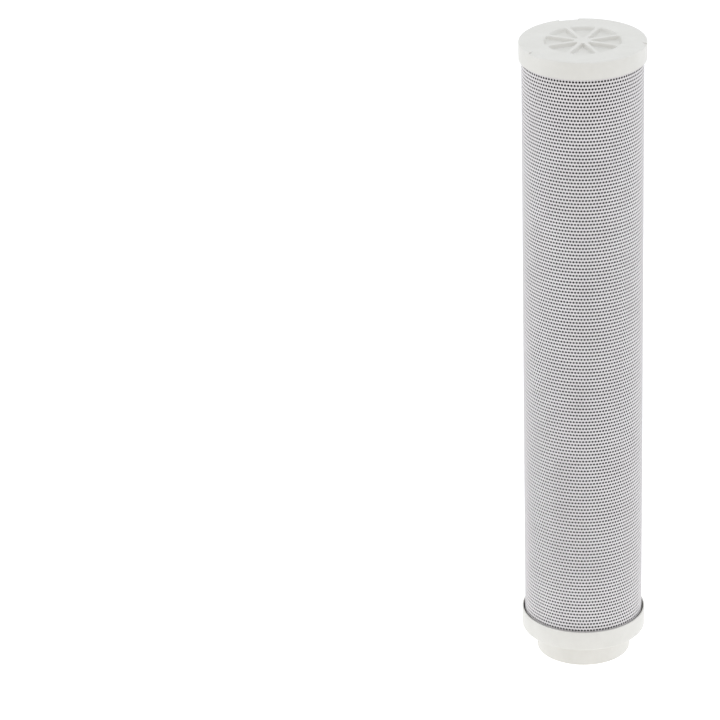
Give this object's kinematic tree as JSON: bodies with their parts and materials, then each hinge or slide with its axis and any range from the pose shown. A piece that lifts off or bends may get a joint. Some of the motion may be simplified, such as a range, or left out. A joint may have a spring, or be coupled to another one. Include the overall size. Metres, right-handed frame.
{
  "type": "pleated filter element",
  "caption": "Slender pleated liquid filter element in a perforated white wrap, with a ribbed closed end cap and an open neck sealed by an O-ring.",
  "frame": {"origin": "on the element's axis at the open neck's end face, which is what it stands on", "axes": "+Z along the element's axis, from the open neck to the closed cap; +Y towards the back, where the wrap's lap and the pleats' seam are"},
  "size_m": [0.0782, 0.0782, 0.4132],
  "materials": {
    "cap_plastic": "white moulded plastic, satin, lightly textured",
    "o_ring_rubber": "black rubber, slightly shiny",
    "wrap_sheet": "thin white plastic sheet with small round holes, satin",
    "adhesive": "cream hot-melt adhesive",
    "upstream_mesh": "dark woven mesh",
    "prefilter_felt": "off-white non-woven felt",
    "filter_fleece": "cream microfibre fleece",
    "scrim_cloth": "thin white spun-bonded scrim",
    "downstream_mesh": "dark grey-brown woven mesh",
    "potting_resin": "cast cream resin"
  },
  "bodies": {
    "root": {"top_end_cap": "cap_plastic", "bottom_end_cap": "cap_plastic", "neck_o_ring": "o_ring_rubber", "outer_wrap": "wrap_sheet", "wrap_seam_bond": "adhesive", "upstream_support_mesh": "upstream_mesh", "prefilter_layer": "prefilter_felt", "filter_medium": "filter_fleece", "downstream_scrim": "scrim_cloth", "downstream_support_mesh": "downstream_mesh", "pleat_side_seal": "adhesive", "top_potting": "potting_resin", "bottom_potting": "potting_resin"}
  },
  "joints": []
}
